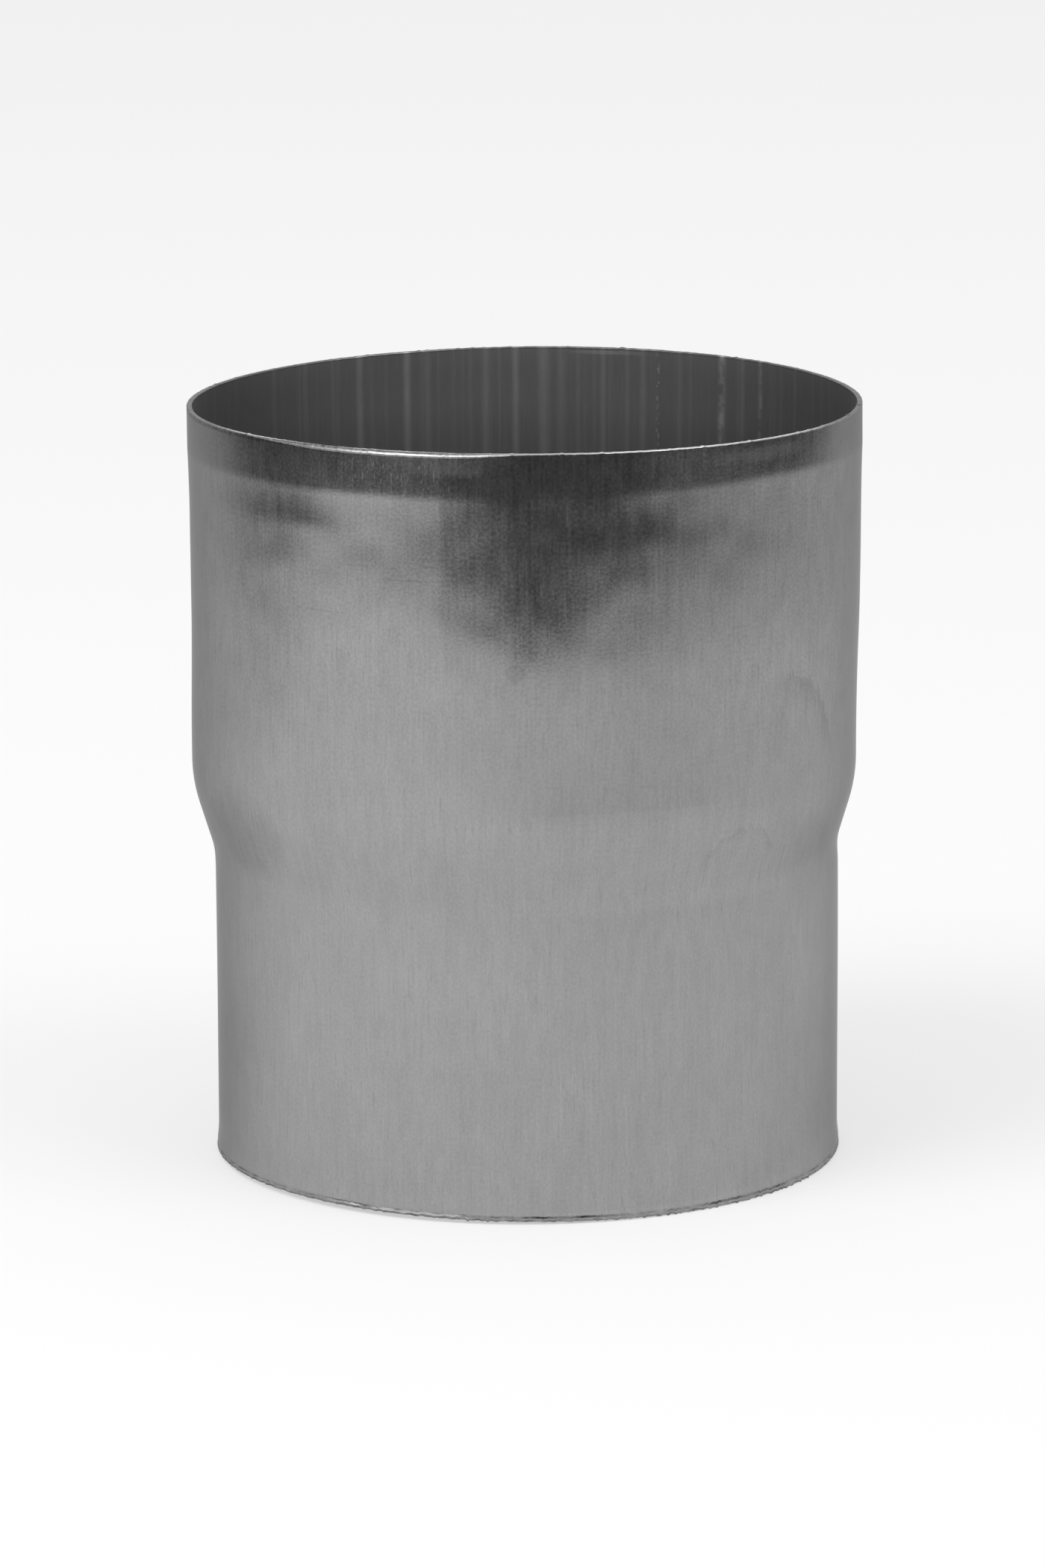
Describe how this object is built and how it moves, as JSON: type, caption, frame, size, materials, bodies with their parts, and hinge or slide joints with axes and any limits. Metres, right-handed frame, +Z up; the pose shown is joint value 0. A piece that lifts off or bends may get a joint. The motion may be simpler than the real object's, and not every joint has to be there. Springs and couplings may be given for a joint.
{
  "type": "downpipe sleeve",
  "caption": "Thin metal sleeve that joins round rainwater downpipes: a wide socket above, a swaged shoulder and a narrow spigot below.",
  "frame": {"origin": "middle of the foot, where the lower cut edge stands on a surface", "axes": "+Z up the pipe axis, from the spigot to the socket; X and Y are free, because the form is round"},
  "size_m": [0.0824, 0.0824, 0.094],
  "materials": {
    "zinc": "satin rolled zinc sheet, slightly weathered, with fine lengthwise grain"
  },
  "bodies": {
    "root": {"sleeve": "zinc"}
  },
  "joints": []
}
